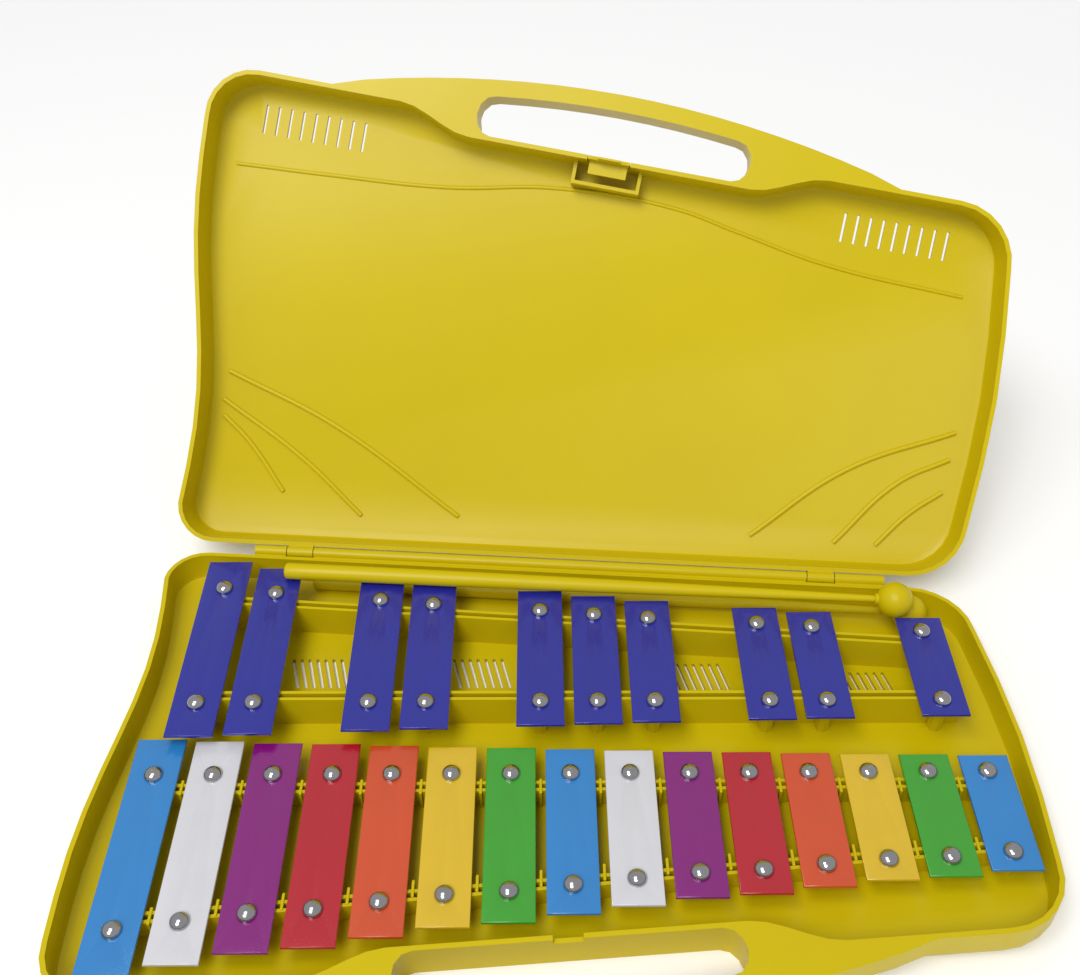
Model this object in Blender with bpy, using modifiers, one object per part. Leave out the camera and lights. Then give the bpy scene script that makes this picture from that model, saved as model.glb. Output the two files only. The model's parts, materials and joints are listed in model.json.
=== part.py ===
"""A twenty-five note metallophone in a hinged plastic case, standing open.

Metres, +Z up. The origin is on the underside of the base, at the middle of the case. The player
sits at -Y, low notes are at -X, and the lid is hinged along the slanted rear edge at +Y.
"""

import math

import bmesh
import bpy
from mathutils import Matrix, Vector

# Bars
BAR_PITCH = 0.024
BAR_WIDTH = 0.020
BAR_THICKNESS = 0.0016
BAR_LONGEST = 0.1032
BAR_SHORTEST = 0.0527
PIN_SPAN_LONGEST = 0.0677
PIN_SPAN_SHORTEST = 0.0369
NATURAL_NOTES = (0, 2, 4, 5, 7, 9, 10, 12, 14, 16, 17, 19, 21, 22, 24)
CHROMATIC_NOTES = (1, 3, 6, 8, 11, 13, 15, 18, 20, 23)
TOP_NOTE = 24
NODE_SHARE = 0.224
ROW_SHIFT = 0.0037
NATURAL_REAR_PIN_Y = -0.011
ROW_SPACING = 0.0315
CHROMATIC_RISE = 0.0065
NATURAL_TOP_BELOW_RIM = 0.0026

# Pins
PIN_RADIUS = 0.0015
PIN_HEAD_RADIUS = 0.0037
PIN_HEAD_HEIGHT = 0.0028
PIN_DEPTH = 0.006
PIN_HOLE_CLEARANCE = 0.0005
PIN_SIDES = 8
PIN_DOME_RINGS = 2
BOSS_WALL = 0.0014

# Case
WALL = 0.002
FLOOR = 0.002
BASE_DEPTH = 0.016
LID_DEPTH = 0.020
SIDE_MARGIN = 0.020
LEFT_REAR_STEP = 0.0055
RIGHT_SIDE_STEP = 0.0035
FRONT_GAP_LEFT = 0.0085
FRONT_GAP_RIGHT = 0.0242
TROUGH_LEFT = 0.0072
TROUGH_RIGHT = 0.0205
CORNER_FRONT_LEFT = 0.022
CORNER_REAR_LEFT = 0.017
CORNER_REAR_RIGHT = 0.026
CORNER_FRONT_RIGHT = 0.028
WAIST_BOW = 0.0022
WAIST_WAVE = 0.00335
RIGHT_BOW = 0.0035
EDGE_ROUND = 0.005
INNER_ROUND = 0.003
CORNER_STEPS = 6

# Handle and grip slot
HANDLE_SPAN = 0.264
HANDLE_REACH = 0.0187
HANDLE_BAR = 0.0075
HANDLE_OFFSET = 0.0022
HANDLE_EDGE_ROUND = 0.003
SLOT_LENGTH = 0.127
SLOT_INSET = 0.0103
SLOT_CORNER = 0.0075
WEB_RUN_OUT = 0.034

# Rails, slots and vents
RIB_THICKNESS = 0.0014
RIB_SPACING = 0.0034
SOUND_SLOT_WIDTH = 0.0013
SOUND_SLOT_PITCH = 0.0036
SOUND_SLOT_LONG = 0.017
SOUND_SLOT_SHORT = 0.0065
SOUND_SLOT_GAP = 0.0036
SOUND_SLOT_LEAN = math.radians(14)
SOUND_SLOT_COUNT = 7
VENT_COUNT = 9
VENT_PITCH = 0.006
VENT_WIDTH = 0.0012
VENT_LENGTH = 0.0135
VENT_FROM_FRONT = 0.0185
VENT_FROM_CORNER = 0.050

# Latch
LATCH_BOX_LENGTH = 0.032
LATCH_BOX_DEPTH = 0.0105
LATCH_BOX_HEIGHT = 0.010
LATCH_NOTCH = 0.020
LATCH_THICKNESS = 0.0016
LATCH_HEIGHT = 0.007
LATCH_FOOT = 0.006
LATCH_NOSE = 0.002
LATCH_NOSE_WIDTH = 0.010

# Hinge
HINGE_ZONE_LEFT = -0.1436
HINGE_ZONE_RIGHT = 0.151
HINGE_STATION = 0.122
HINGE_KNUCKLE = 0.013
HINGE_OFFSET = 0.0030
KNUCKLE_RADIUS = 0.0026
KNUCKLE_GAP = 0.0004
KNUCKLE_ROOM_GAP = 0.0007
WEB_INSET = 0.0003
HINGE_PIN_RADIUS = 0.0011
HINGE_PIN_ENTRY = 0.012
HINGE_SIDES = 16
LID_OPEN_ANGLE = math.radians(127)

# Mallets
MALLET_BUTT_RADIUS = 0.00375
MALLET_NECK_RADIUS = 0.0014
MALLET_HEAD_RADIUS = 0.008
MALLET_LENGTH = 0.277
MALLET_TIP_IN_HEAD = 0.005
MALLET_1_HEAD_X = 0.1507
MALLET_1_HEAD_GAP = 0.0003
MALLET_1_BUTT_ON_BAR = 0.0055
MALLET_2_HEAD_X = 0.1602
MALLET_SIDES = 12

# Running and seating gaps
SEAT_GAP = 0.0003
RUNNING_GAP = 0.0003

# Heights worked out from the sizes above
RIM_Z = BASE_DEPTH
LID_RIM_Z = RIM_Z + SEAT_GAP
LID_TOP_Z = LID_RIM_Z + LID_DEPTH
HINGE_Z = RIM_Z + SEAT_GAP / 2
NATURAL_TOP_Z = RIM_Z - NATURAL_TOP_BELOW_RIM
CHROMATIC_TOP_Z = NATURAL_TOP_Z + CHROMATIC_RISE
CUT_MARGIN = 0.005


def clear_scene():
    for obj in list(bpy.data.objects):
        bpy.data.objects.remove(obj, do_unlink=True)


def new_collection(name):
    collection = bpy.data.collections.new(name)
    bpy.context.scene.collection.children.link(collection)
    return collection


def material(name, colour, roughness=0.4, metallic=0.0):
    mat = bpy.data.materials.new(name)
    mat.use_nodes = True
    shader = mat.node_tree.nodes["Principled BSDF"]
    shader.inputs["Base Color"].default_value = (*colour, 1.0)
    shader.inputs["Roughness"].default_value = roughness
    shader.inputs["Metallic"].default_value = metallic
    return mat


def add_object(name, mesh, collection, mat=None):
    obj = bpy.data.objects.new(name, mesh)
    collection.objects.link(obj)
    if mat:
        mesh.materials.append(mat)
    return obj


def mesh_from(bm, name):
    bmesh.ops.recalc_face_normals(bm, faces=bm.faces)
    mesh = bpy.data.meshes.new(name)
    bm.to_mesh(mesh)
    bm.free()
    return mesh


def cutter(name, mesh):
    obj = add_object(name, mesh, CUTTERS)
    obj.hide_render = True
    obj.display_type = 'WIRE'
    return obj


def boolean(target, tool, operation='DIFFERENCE'):
    modifier = target.modifiers.new(tool.name, 'BOOLEAN')
    modifier.operation = operation
    modifier.solver = 'EXACT'
    modifier.object = tool


def join_meshes(name, meshes):
    """One mesh that holds several closed shapes which don't touch each other."""
    bm = bmesh.new()
    for mesh in meshes:
        bm.from_mesh(mesh)
        bpy.data.meshes.remove(mesh)
    joined = bpy.data.meshes.new(name)
    bm.to_mesh(joined)
    bm.free()
    return joined


def block(name, low, high, turn=0.0, about=(0.0, 0.0)):
    """A box between two corners, turned about the vertical through a plan point."""
    bm = bmesh.new()
    bmesh.ops.create_cube(bm, size=1.0)
    size = Vector(high) - Vector(low)
    middle = (Vector(high) + Vector(low)) / 2
    pivot = Matrix.Translation((about[0], about[1], 0.0))
    move = pivot @ Matrix.Rotation(turn, 4, 'Z') @ pivot.inverted() @ Matrix.Translation(middle)
    bmesh.ops.transform(bm, matrix=move @ Matrix.Diagonal((*size, 1.0)), verts=bm.verts)
    return mesh_from(bm, name)


def cylinder(name, radius, length, sides, place):
    """A cylinder along local Z, from 0 to its length, set down by a matrix."""
    bm = bmesh.new()
    bmesh.ops.create_cone(bm, cap_ends=True, segments=sides, radius1=radius, radius2=radius, depth=length)
    bmesh.ops.translate(bm, verts=bm.verts, vec=(0.0, 0.0, length / 2))
    bmesh.ops.transform(bm, matrix=place, verts=bm.verts)
    return mesh_from(bm, name)


def prism(name, outline, low_z, high_z, round_low=0.0, round_high=0.0, segments=3):
    """A plan outline made solid between two heights, with rounded lower or upper edges."""
    bm = bmesh.new()
    ring = [bm.verts.new((x, y, low_z)) for x, y in outline]
    face = bm.faces.new(ring)
    top = bmesh.ops.extrude_face_region(bm, geom=[face])
    raised = [v for v in top["geom"] if isinstance(v, bmesh.types.BMVert)]
    bmesh.ops.translate(bm, verts=raised, vec=(0.0, 0.0, high_z - low_z))
    bmesh.ops.recalc_face_normals(bm, faces=bm.faces)
    for height, width in ((low_z, round_low), (high_z, round_high)):
        if width > 0.0:
            edges = [e for e in bm.edges if all(abs(v.co.z - height) < 1e-7 for v in e.verts)]
            bmesh.ops.bevel(bm, geom=edges, offset=width, segments=segments, profile=0.5,
                            affect='EDGES', clamp_overlap=True)
    return mesh_from(bm, name)


def turned(name, profile, sides, place):
    """A profile of (radius, height) points, top to bottom, turned about Z with a Screw modifier."""
    bm = bmesh.new()
    points = [bm.verts.new((radius, 0.0, height)) for radius, height in profile]
    for start, end in zip(points, points[1:]):
        bm.edges.new((start, end))
    mesh = bpy.data.meshes.new(name)
    bm.to_mesh(mesh)
    bm.free()
    obj = bpy.data.objects.new(name, mesh)
    CUTTERS.objects.link(obj)
    screw = obj.modifiers.new("turn", 'SCREW')
    screw.axis = 'Z'
    screw.steps = sides
    screw.render_steps = sides
    screw.use_merge_vertices = True
    screw.merge_threshold = 0.00002
    solid = baked(obj)
    solid.transform(place)
    return solid


def baked(obj):
    """The evaluated mesh of an object, in its own space. The object is removed."""
    bpy.context.view_layer.update()
    depsgraph = bpy.context.evaluated_depsgraph_get()
    mesh = bpy.data.meshes.new_from_object(obj.evaluated_get(depsgraph))
    bpy.data.objects.remove(obj, do_unlink=True)
    return mesh


def note_share(note):
    """How far a note lies between the longest bar (0) and the shortest (1)."""
    return note / TOP_NOTE


def bar_length(note):
    return BAR_LONGEST * (BAR_SHORTEST / BAR_LONGEST) ** note_share(note)


def pin_span(note):
    return PIN_SPAN_LONGEST * (PIN_SPAN_SHORTEST / PIN_SPAN_LONGEST) ** note_share(note)


def natural_x(index):
    return ROW_SHIFT + (index - (len(NATURAL_NOTES) - 1) / 2) * BAR_PITCH


def chromatic_x(note):
    """A chromatic bar stands over the gap between its two natural neighbours."""
    below = max(i for i, natural in enumerate(NATURAL_NOTES) if natural < note)
    return natural_x(below) + BAR_PITCH / 2


def natural_bars():
    """Centre x, rear pin y, front pin y, rear end y and front end y of each natural bar."""
    rows = []
    for index, note in enumerate(NATURAL_NOTES):
        overhang = (bar_length(note) - pin_span(note)) / 2
        rear = NATURAL_REAR_PIN_Y
        front = rear - pin_span(note)
        rows.append((natural_x(index), rear, front, rear + overhang, front - overhang))
    return rows


def chromatic_bars():
    """The same values for each chromatic bar, whose front pins stand in one line."""
    rows = []
    for note in CHROMATIC_NOTES:
        overhang = (bar_length(note) - pin_span(note)) / 2
        front = NATURAL_REAR_PIN_Y + ROW_SPACING
        rear = front + pin_span(note)
        rows.append((chromatic_x(note), rear, front, rear + overhang, front - overhang))
    return rows


def line_through(start, end):
    slope = (end[1] - start[1]) / (end[0] - start[0])
    return lambda x: start[1] + slope * (x - start[0])


NATURALS = natural_bars()
CHROMATICS = chromatic_bars()
CASE_LEFT = NATURALS[0][0] - ROW_SHIFT - SIDE_MARGIN
CASE_RIGHT = NATURALS[-1][0] - ROW_SHIFT + SIDE_MARGIN
front_edge = line_through((NATURALS[0][0], NATURALS[0][4] - FRONT_GAP_LEFT - WALL),
                          (NATURALS[-1][0], NATURALS[-1][4] - FRONT_GAP_RIGHT - WALL))
rear_edge = line_through((CHROMATICS[0][0], CHROMATICS[0][3] + TROUGH_LEFT + WALL),
                         (CHROMATICS[-1][0], CHROMATICS[-1][3] + TROUGH_RIGHT + WALL))
FRONT_ANGLE = math.atan(front_edge(1.0) - front_edge(0.0))
REAR_ANGLE = math.atan(rear_edge(1.0) - rear_edge(0.0))
HANDLE_CENTRE = (HANDLE_OFFSET, front_edge(HANDLE_OFFSET))
HINGE_POINT = Vector((0.0, rear_edge(0.0) + HINGE_OFFSET / math.cos(REAR_ANGLE), HINGE_Z))
HINGE_FRAME = Matrix.Translation(HINGE_POINT) @ Matrix.Rotation(REAR_ANGLE, 4, 'Z')


def corner_arc(before, corner, after, radius):
    """Points of an arc that rounds a corner between two straight sides."""
    corner = Vector(corner)
    to_before = (Vector(before) - corner).normalized()
    to_after = (Vector(after) - corner).normalized()
    half = to_before.angle(to_after) / 2
    centre = corner + (to_before + to_after).normalized() * (radius / math.sin(half))
    start = corner + to_before * (radius / math.tan(half))
    sweep = math.pi - 2 * half
    turn = 1.0 if to_before.cross(to_after) < 0.0 else -1.0
    spoke = start - centre
    points = []
    for step in range(CORNER_STEPS + 1):
        angle = turn * sweep * step / CORNER_STEPS
        c, s = math.cos(angle), math.sin(angle)
        points.append((centre.x + c * spoke.x - s * spoke.y, centre.y + s * spoke.x + c * spoke.y))
    return points


def body_outline(inset=0.0):
    """The case without its handle bulge, counter-clockwise from above, moved inward by an inset."""
    corners = [(CASE_LEFT, front_edge(CASE_LEFT)), (CASE_RIGHT, front_edge(CASE_RIGHT)),
               (CASE_RIGHT - RIGHT_SIDE_STEP, rear_edge(CASE_RIGHT - RIGHT_SIDE_STEP)),
               (CASE_LEFT + LEFT_REAR_STEP, rear_edge(CASE_LEFT + LEFT_REAR_STEP))]
    radii = [CORNER_FRONT_LEFT, CORNER_FRONT_RIGHT, CORNER_REAR_RIGHT, CORNER_REAR_LEFT]
    arcs = []
    for i, corner in enumerate(corners):
        arcs.append(corner_arc(corners[i - 1], corner, corners[(i + 1) % 4], radii[i]))
    points = arcs[0] + arcs[1]
    points += side_run(arcs[1][-1], arcs[2][0], 4, lambda t: RIGHT_BOW * math.sin(math.pi * t))
    points += arcs[2] + arcs[3]
    points += side_run(arcs[3][-1], arcs[0][0], 10, left_wave)
    return moved_inward(points, inset)


def left_wave(t):
    """The left side bulges near the front and is drawn in towards the rear."""
    return -WAIST_BOW * math.sin(math.pi * t) - WAIST_WAVE * math.sin(2 * math.pi * t)


def side_run(start, end, steps, outward):
    """Points between two ends of a side, moved outward by a formula."""
    start, end = Vector(start), Vector(end)
    along = end - start
    normal = Vector((along.y, -along.x)).normalized()
    points = []
    for step in range(1, steps):
        t = step / steps
        point = start + along * t + normal * outward(t)
        points.append((point.x, point.y))
    return points


def moved_inward(points, distance):
    """Each point moved square to the outline, to the left of its direction of travel."""
    if distance == 0.0:
        return points
    moved = []
    for i, point in enumerate(points):
        before = Vector(points[i - 1])
        after = Vector(points[(i + 1) % len(points)])
        here = Vector(point)
        first = (here - before).normalized()
        second = (after - here).normalized()
        normal_1 = Vector((-first.y, first.x))
        normal_2 = Vector((-second.y, second.x))
        middle = (normal_1 + normal_2).normalized()
        reach = distance / middle.dot(normal_1)
        moved.append((here.x + middle.x * reach, here.y + middle.y * reach))
    return moved


def handle_point(along, inward):
    """Plan point in the handle's own frame: along the front edge, and inward from it."""
    c, s = math.cos(FRONT_ANGLE), math.sin(FRONT_ANGLE)
    return (HANDLE_CENTRE[0] + c * along - s * inward, HANDLE_CENTRE[1] + s * along + c * inward)


def handle_bulge(along):
    """How far the handle stands out from the front edge."""
    share = min(max(along / HANDLE_SPAN + 0.5, 0.0), 1.0)
    return HANDLE_REACH * math.sin(math.pi * share) ** 0.8


def handle_outline():
    steps = 18
    back = WALL * 2
    points = [handle_point(HANDLE_SPAN / 2, back), handle_point(-HANDLE_SPAN / 2, back)]
    for step in range(steps + 1):
        along = HANDLE_SPAN * (step / steps - 0.5)
        points.append(handle_point(along, -handle_bulge(along)))
    return points


def slot_outline():
    """The grip slot, straight along its inner edge and bowed like the handle along its outer edge."""
    half = SLOT_LENGTH / 2
    steps = 8
    points = []
    for step in range(steps + 1):
        along = (half - SLOT_CORNER) * (2 * step / steps - 1)
        points.append(handle_point(along, -(handle_bulge(along) - HANDLE_BAR)))
    outer_end = handle_bulge(half - SLOT_CORNER) - HANDLE_BAR
    middle = (SLOT_INSET - outer_end) / 2
    reach = (SLOT_INSET + outer_end) / 2
    turns = 6
    for step in range(1, turns):
        angle = math.pi * (step / turns - 0.5)
        points.append(handle_point(half - SLOT_CORNER + SLOT_CORNER * math.cos(angle),
                                   middle + reach * math.sin(angle)))
    points.append(handle_point(half - SLOT_CORNER, SLOT_INSET))
    points.append(handle_point(-(half - SLOT_CORNER), SLOT_INSET))
    for step in range(1, turns):
        angle = math.pi * (0.5 - step / turns)
        points.append(handle_point(-(half - SLOT_CORNER) - SLOT_CORNER * math.cos(angle),
                                   middle + reach * math.sin(angle)))
    return points


def compartment_outline(wall):
    """The inside of the case: the body moved in by its wall, and bowed in past the grip slot."""
    inner = moved_inward(body_outline(), wall)
    arc = CORNER_STEPS + 1
    flat = SLOT_LENGTH / 2 + WALL
    run = flat + WEB_RUN_OUT
    steps = 5
    bow = []
    for step in range(steps + 1):
        t = step / steps
        ease = t * t * (3 - 2 * t)
        bow.append((-(run - (run - flat) * t), wall + SLOT_INSET * ease))
    points = [handle_point(along, inward) for along, inward in bow]
    points += [handle_point(-along, inward) for along, inward in reversed(bow)]
    return inner[:arc] + points + inner[arc:]


def shell_solid(name, low_z, high_z, open_end, mat):
    """A case half as a solid block, body and handle joined, rounded at its closed side."""
    closed_low = open_end == "top"
    body = prism(name, body_outline(), low_z, high_z,
                 round_low=EDGE_ROUND if closed_low else 0.0,
                 round_high=0.0 if closed_low else EDGE_ROUND)
    shell = add_object(name, body, PARTS, mat)
    inset = EDGE_ROUND - 0.001
    handle_low = low_z + (inset if closed_low else 0.0)
    handle_high = high_z - (0.0 if closed_low else inset)
    handle = prism(name + "_handle", handle_outline(), handle_low, handle_high,
                   round_low=HANDLE_EDGE_ROUND if closed_low else 0.0,
                   round_high=0.0 if closed_low else HANDLE_EDGE_ROUND)
    boolean(shell, cutter(name + "_handle", handle), 'UNION')
    return shell


def cut_compartment(shell, low_z, high_z, floor_low):
    """Hollow the shell. The floor side of the hollow has a small round."""
    hollow = prism(shell.name + "_hollow", compartment_outline(WALL), low_z, high_z,
                   round_low=INNER_ROUND if floor_low else 0.0,
                   round_high=0.0 if floor_low else INNER_ROUND, segments=2)
    boolean(shell, cutter(shell.name + "_hollow", hollow))


def cut_slot(shell, low_z, high_z):
    slot = prism(shell.name + "_slot", slot_outline(), low_z - CUT_MARGIN, high_z + CUT_MARGIN)
    boolean(shell, cutter(shell.name + "_slot", slot))


def rail_line(rows, notes, at_front):
    """A straight rail under the still points of a row of bars, from its first bar to its last."""
    ends = []
    for index in (0, -1):
        x, _, _, rear_end, front_end = rows[index]
        still = bar_length(notes[index]) * NODE_SHARE
        ends.append((x, front_end + still if at_front else rear_end - still))
    return ends


def rail_ribs(name, ends, top_z):
    """Two thin ribs, one on each side of a rail line, up from the floor."""
    start, end = Vector(ends[0]), Vector(ends[1])
    along = (end - start).normalized()
    overrun = BAR_WIDTH / 2
    length = (end - start).length + 2 * overrun
    angle = math.atan2(along.y, along.x)
    corner = start - along * overrun
    ribs = []
    for side in (-1, 1):
        middle = side * RIB_SPACING / 2
        low = (corner.x, corner.y + middle - RIB_THICKNESS / 2, FLOOR / 2)
        high = (corner.x + length, corner.y + middle + RIB_THICKNESS / 2, top_z)
        ribs.append(block(name, low, high, angle, (corner.x, corner.y)))
    return ribs


def pin_places(rows, front):
    return [(row[0], row[2] if front else row[1]) for row in rows]


def bosses(name, places, top_z):
    radius = PIN_RADIUS + RUNNING_GAP + BOSS_WALL
    height = top_z - FLOOR / 2
    return [cylinder(name, radius, height, PIN_SIDES, Matrix.Translation((x, y, FLOOR / 2)))
            for x, y in places]


def pin_bores(name, places, top_z):
    depth = PIN_DEPTH + CUT_MARGIN
    low_z = top_z - PIN_DEPTH
    return [cylinder(name, PIN_RADIUS + RUNNING_GAP, depth, PIN_SIDES, Matrix.Translation((x, y, low_z)))
            for x, y in places]


def pin_profile(bar_top_z, foot_z):
    """A domed head over a straight shank, given top to bottom."""
    seat = bar_top_z + SEAT_GAP
    crown = seat + PIN_HEAD_HEIGHT
    profile = [(0.0, crown)]
    for ring in range(1, PIN_DOME_RINGS):
        angle = 0.5 * math.pi * ring / PIN_DOME_RINGS
        profile.append((PIN_HEAD_RADIUS * math.sin(angle), seat + PIN_HEAD_HEIGHT * math.cos(angle)))
    profile += [(PIN_HEAD_RADIUS, seat), (PIN_RADIUS, seat), (PIN_RADIUS, foot_z), (0.0, foot_z)]
    return profile


def pin_mesh(name, place, bar_top_z, foot_z):
    move = Matrix.Translation((place[0], place[1], 0.0))
    return turned(name, pin_profile(bar_top_z, foot_z), PIN_SIDES, move)


def make_bar(name, row, top_z, mat):
    """A flat bar with two round holes, its origin at its own middle."""
    x, rear_pin, front_pin, rear_end, front_end = row
    middle_y = (rear_end + front_end) / 2
    half = (rear_end - front_end) / 2
    bm = bmesh.new()
    bmesh.ops.create_cube(bm, size=1.0)
    bmesh.ops.scale(bm, verts=bm.verts, vec=(BAR_WIDTH, 2 * half, BAR_THICKNESS))
    bar = add_object(name, mesh_from(bm, name), PARTS, mat)
    bar.location = (x, middle_y, top_z - BAR_THICKNESS / 2)
    radius = PIN_RADIUS + PIN_HOLE_CLEARANCE
    holes = []
    for pin_y in (rear_pin, front_pin):
        move = Matrix.Translation((x, pin_y, top_z - BAR_THICKNESS - CUT_MARGIN))
        holes.append(cylinder(name, radius, BAR_THICKNESS + 2 * CUT_MARGIN, PIN_SIDES, move))
    boolean(bar, cutter(name + "_holes", join_meshes(name + "_holes", holes)))
    return bar


def make_all_bars():
    for index, row in enumerate(NATURALS):
        colour = NATURAL_COLOURS[index % len(NATURAL_COLOURS)]
        make_bar(f"natural_bar_{index + 1:02d}", row, NATURAL_TOP_Z, colour)
    for index, row in enumerate(CHROMATICS):
        make_bar(f"chromatic_bar_{index + 1:02d}", row, CHROMATIC_TOP_Z, DARK_BLUE)


def make_front_pins():
    """The front pin of each bar is a piece of its own, held in a bored boss."""
    for label, rows, top_z in (("natural", NATURALS, NATURAL_TOP_Z), ("chromatic", CHROMATICS, CHROMATIC_TOP_Z)):
        boss_top = top_z - BAR_THICKNESS - SEAT_GAP
        foot_z = boss_top - PIN_DEPTH + SEAT_GAP
        for index, place in enumerate(pin_places(rows, front=True)):
            name = f"{label}_pin_{index + 1:02d}"
            pin = add_object(name, pin_mesh(name, place, top_z, foot_z), PARTS, CHROME)
            pin.data.shade_smooth()


def sound_slots():
    """Leaning slots in the floor between the chromatic bar groups, a long row and a short row."""
    slots = []
    rail_rear = rail_line(CHROMATICS, CHROMATIC_NOTES, at_front=False)
    rail_front = rail_line(CHROMATICS, CHROMATIC_NOTES, at_front=True)
    front_rail = line_through(*rail_front)
    rear_rail = line_through(*rail_rear)
    for left, right in zip(CHROMATICS, CHROMATICS[1:]):
        if right[0] - left[0] < 1.5 * BAR_PITCH:
            continue
        centre = (left[0] + right[0]) / 2
        clear = rear_rail(centre) - front_rail(centre) - 2 * RIB_SPACING
        scale = min(1.0, clear / (SOUND_SLOT_LONG + SOUND_SLOT_SHORT + 3 * SOUND_SLOT_GAP))
        for step in range(SOUND_SLOT_COUNT):
            x = centre + (step - (SOUND_SLOT_COUNT - 1) / 2) * SOUND_SLOT_PITCH
            base = front_rail(centre) + RIB_SPACING + SOUND_SLOT_GAP * scale
            for length in (SOUND_SLOT_SHORT * scale, SOUND_SLOT_LONG * scale):
                low = (x - SOUND_SLOT_WIDTH / 2, base, -CUT_MARGIN)
                high = (x + SOUND_SLOT_WIDTH / 2, base + length, FLOOR + CUT_MARGIN / 2)
                slots.append(block("slot", low, high, SOUND_SLOT_LEAN, (x, base)))
                base += length + SOUND_SLOT_GAP * scale
    return slots


def latch_catch():
    """The notch in the base's front wall that takes the nose of the latch."""
    half = LATCH_NOSE_WIDTH / 2 + 2 * RUNNING_GAP
    low = (-half, SLOT_INSET - CUT_MARGIN, RIM_Z - LATCH_NOSE - 2 * RUNNING_GAP)
    high = (half, SLOT_INSET + WALL + CUT_MARGIN, RIM_Z + CUT_MARGIN)
    return in_handle_frame(block("latch_catch", low, high))


def in_handle_frame(mesh):
    place = Matrix.Translation((HANDLE_CENTRE[0], HANDLE_CENTRE[1], 0.0)) @ Matrix.Rotation(FRONT_ANGLE, 4, 'Z')
    mesh.transform(place)
    return mesh


def make_base():
    base = shell_solid("base_case", 0.0, RIM_Z, "top", YELLOW)
    cut_compartment(base, FLOOR, RIM_Z + CUT_MARGIN, floor_low=True)
    natural_seat = NATURAL_TOP_Z - BAR_THICKNESS - SEAT_GAP
    chromatic_seat = CHROMATIC_TOP_Z - BAR_THICKNESS - SEAT_GAP
    ribs = []
    pins = []
    for rows, notes, seat, top_z in ((NATURALS, NATURAL_NOTES, natural_seat, NATURAL_TOP_Z),
                                     (CHROMATICS, CHROMATIC_NOTES, chromatic_seat, CHROMATIC_TOP_Z)):
        for at_front in (True, False):
            ribs += rail_ribs("rib", rail_line(rows, notes, at_front), seat)
            pins += bosses("boss", pin_places(rows, at_front), seat)
    boolean(base, cutter("base_ribs", join_meshes("base_ribs", ribs)), 'UNION')
    boolean(base, cutter("base_bosses", join_meshes("base_bosses", pins)), 'UNION')
    bores = []
    studs = []
    for rows, seat, top_z in ((NATURALS, natural_seat, NATURAL_TOP_Z),
                              (CHROMATICS, chromatic_seat, CHROMATIC_TOP_Z)):
        bores += pin_bores("bore", pin_places(rows, front=True), seat)
        studs += [pin_mesh("stud", place, top_z, seat - PIN_DEPTH) for place in pin_places(rows, front=False)]
    boolean(base, cutter("base_bores", join_meshes("base_bores", bores)))
    boolean(base, cutter("base_rear_pins", join_meshes("base_rear_pins", studs)), 'UNION')
    cut_slot(base, 0.0, RIM_Z)
    boolean(base, cutter("base_sound_slots", join_meshes("base_sound_slots", sound_slots())))
    boolean(base, cutter("base_latch_catch", latch_catch()))
    add_hinge_half(base, "base")
    return base


def knuckle_spans():
    """Spans along the hinge axis of the base's knuckles and of the lid's."""
    half = HINGE_KNUCKLE / 2
    gap = KNUCKLE_GAP
    base = [(HINGE_ZONE_LEFT, -HINGE_STATION - half), (-HINGE_STATION + half, HINGE_STATION - half),
            (HINGE_STATION + half, HINGE_ZONE_RIGHT)]
    lid = [(-HINGE_STATION - half + gap, -HINGE_STATION + half - gap),
           (HINGE_STATION - half + gap, HINGE_STATION + half - gap)]
    return {"base": base, "lid": lid}


def hinge_cylinder(name, radius, start, end):
    """A cylinder along the hinge axis."""
    move = HINGE_FRAME @ Matrix.Translation((start, 0.0, 0.0)) @ Matrix.Rotation(math.pi / 2, 4, 'Y')
    turn = Matrix.Rotation(math.pi / HINGE_SIDES, 4, 'Z')
    return cylinder(name, radius, end - start, HINGE_SIDES, move @ turn)


def hinge_block(name, low, high):
    mesh = block(name, low, high)
    mesh.transform(HINGE_FRAME)
    return mesh


def add_hinge_half(shell, side):
    """Knuckles about the hinge axis, each joined to its rear wall by a web."""
    cut_other_knuckles(shell, side)
    down = -1.0 if side == "base" else 1.0
    barrels = []
    webs = []
    for start, end in knuckle_spans()[side]:
        barrels.append(hinge_cylinder("barrel", KNUCKLE_RADIUS, start, end))
        low_z, high_z = sorted((0.0, down * KNUCKLE_RADIUS * 1.6))
        webs.append(hinge_block("web", (start + WEB_INSET, -HINGE_OFFSET - WALL / 2, low_z),
                                (end - WEB_INSET, KNUCKLE_RADIUS * 0.5, high_z)))
    boolean(shell, cutter(side + "_webs", join_meshes(side + "_webs", webs)), 'UNION')
    boolean(shell, cutter(side + "_barrels", join_meshes(side + "_barrels", barrels)), 'UNION')
    cut_hinge_bores(shell, side)


def cut_other_knuckles(shell, side):
    """Room in this rim for the knuckles of the other half."""
    other = "lid" if side == "base" else "base"
    radius = KNUCKLE_RADIUS + RUNNING_GAP
    rooms = []
    for start, end in knuckle_spans()[other]:
        rooms.append(hinge_cylinder("room", radius, start - KNUCKLE_ROOM_GAP, end + KNUCKLE_ROOM_GAP))
    boolean(shell, cutter(side + "_knuckle_room", join_meshes(side + "_knuckle_room", rooms)))


def hinge_pin_span(side):
    """A pin runs from the outer end of the hinge, through the lid's knuckle, into the long knuckle."""
    inner = HINGE_STATION - HINGE_KNUCKLE / 2 - HINGE_PIN_ENTRY
    if side == "left":
        return HINGE_ZONE_LEFT, -inner
    return inner, HINGE_ZONE_RIGHT


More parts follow.
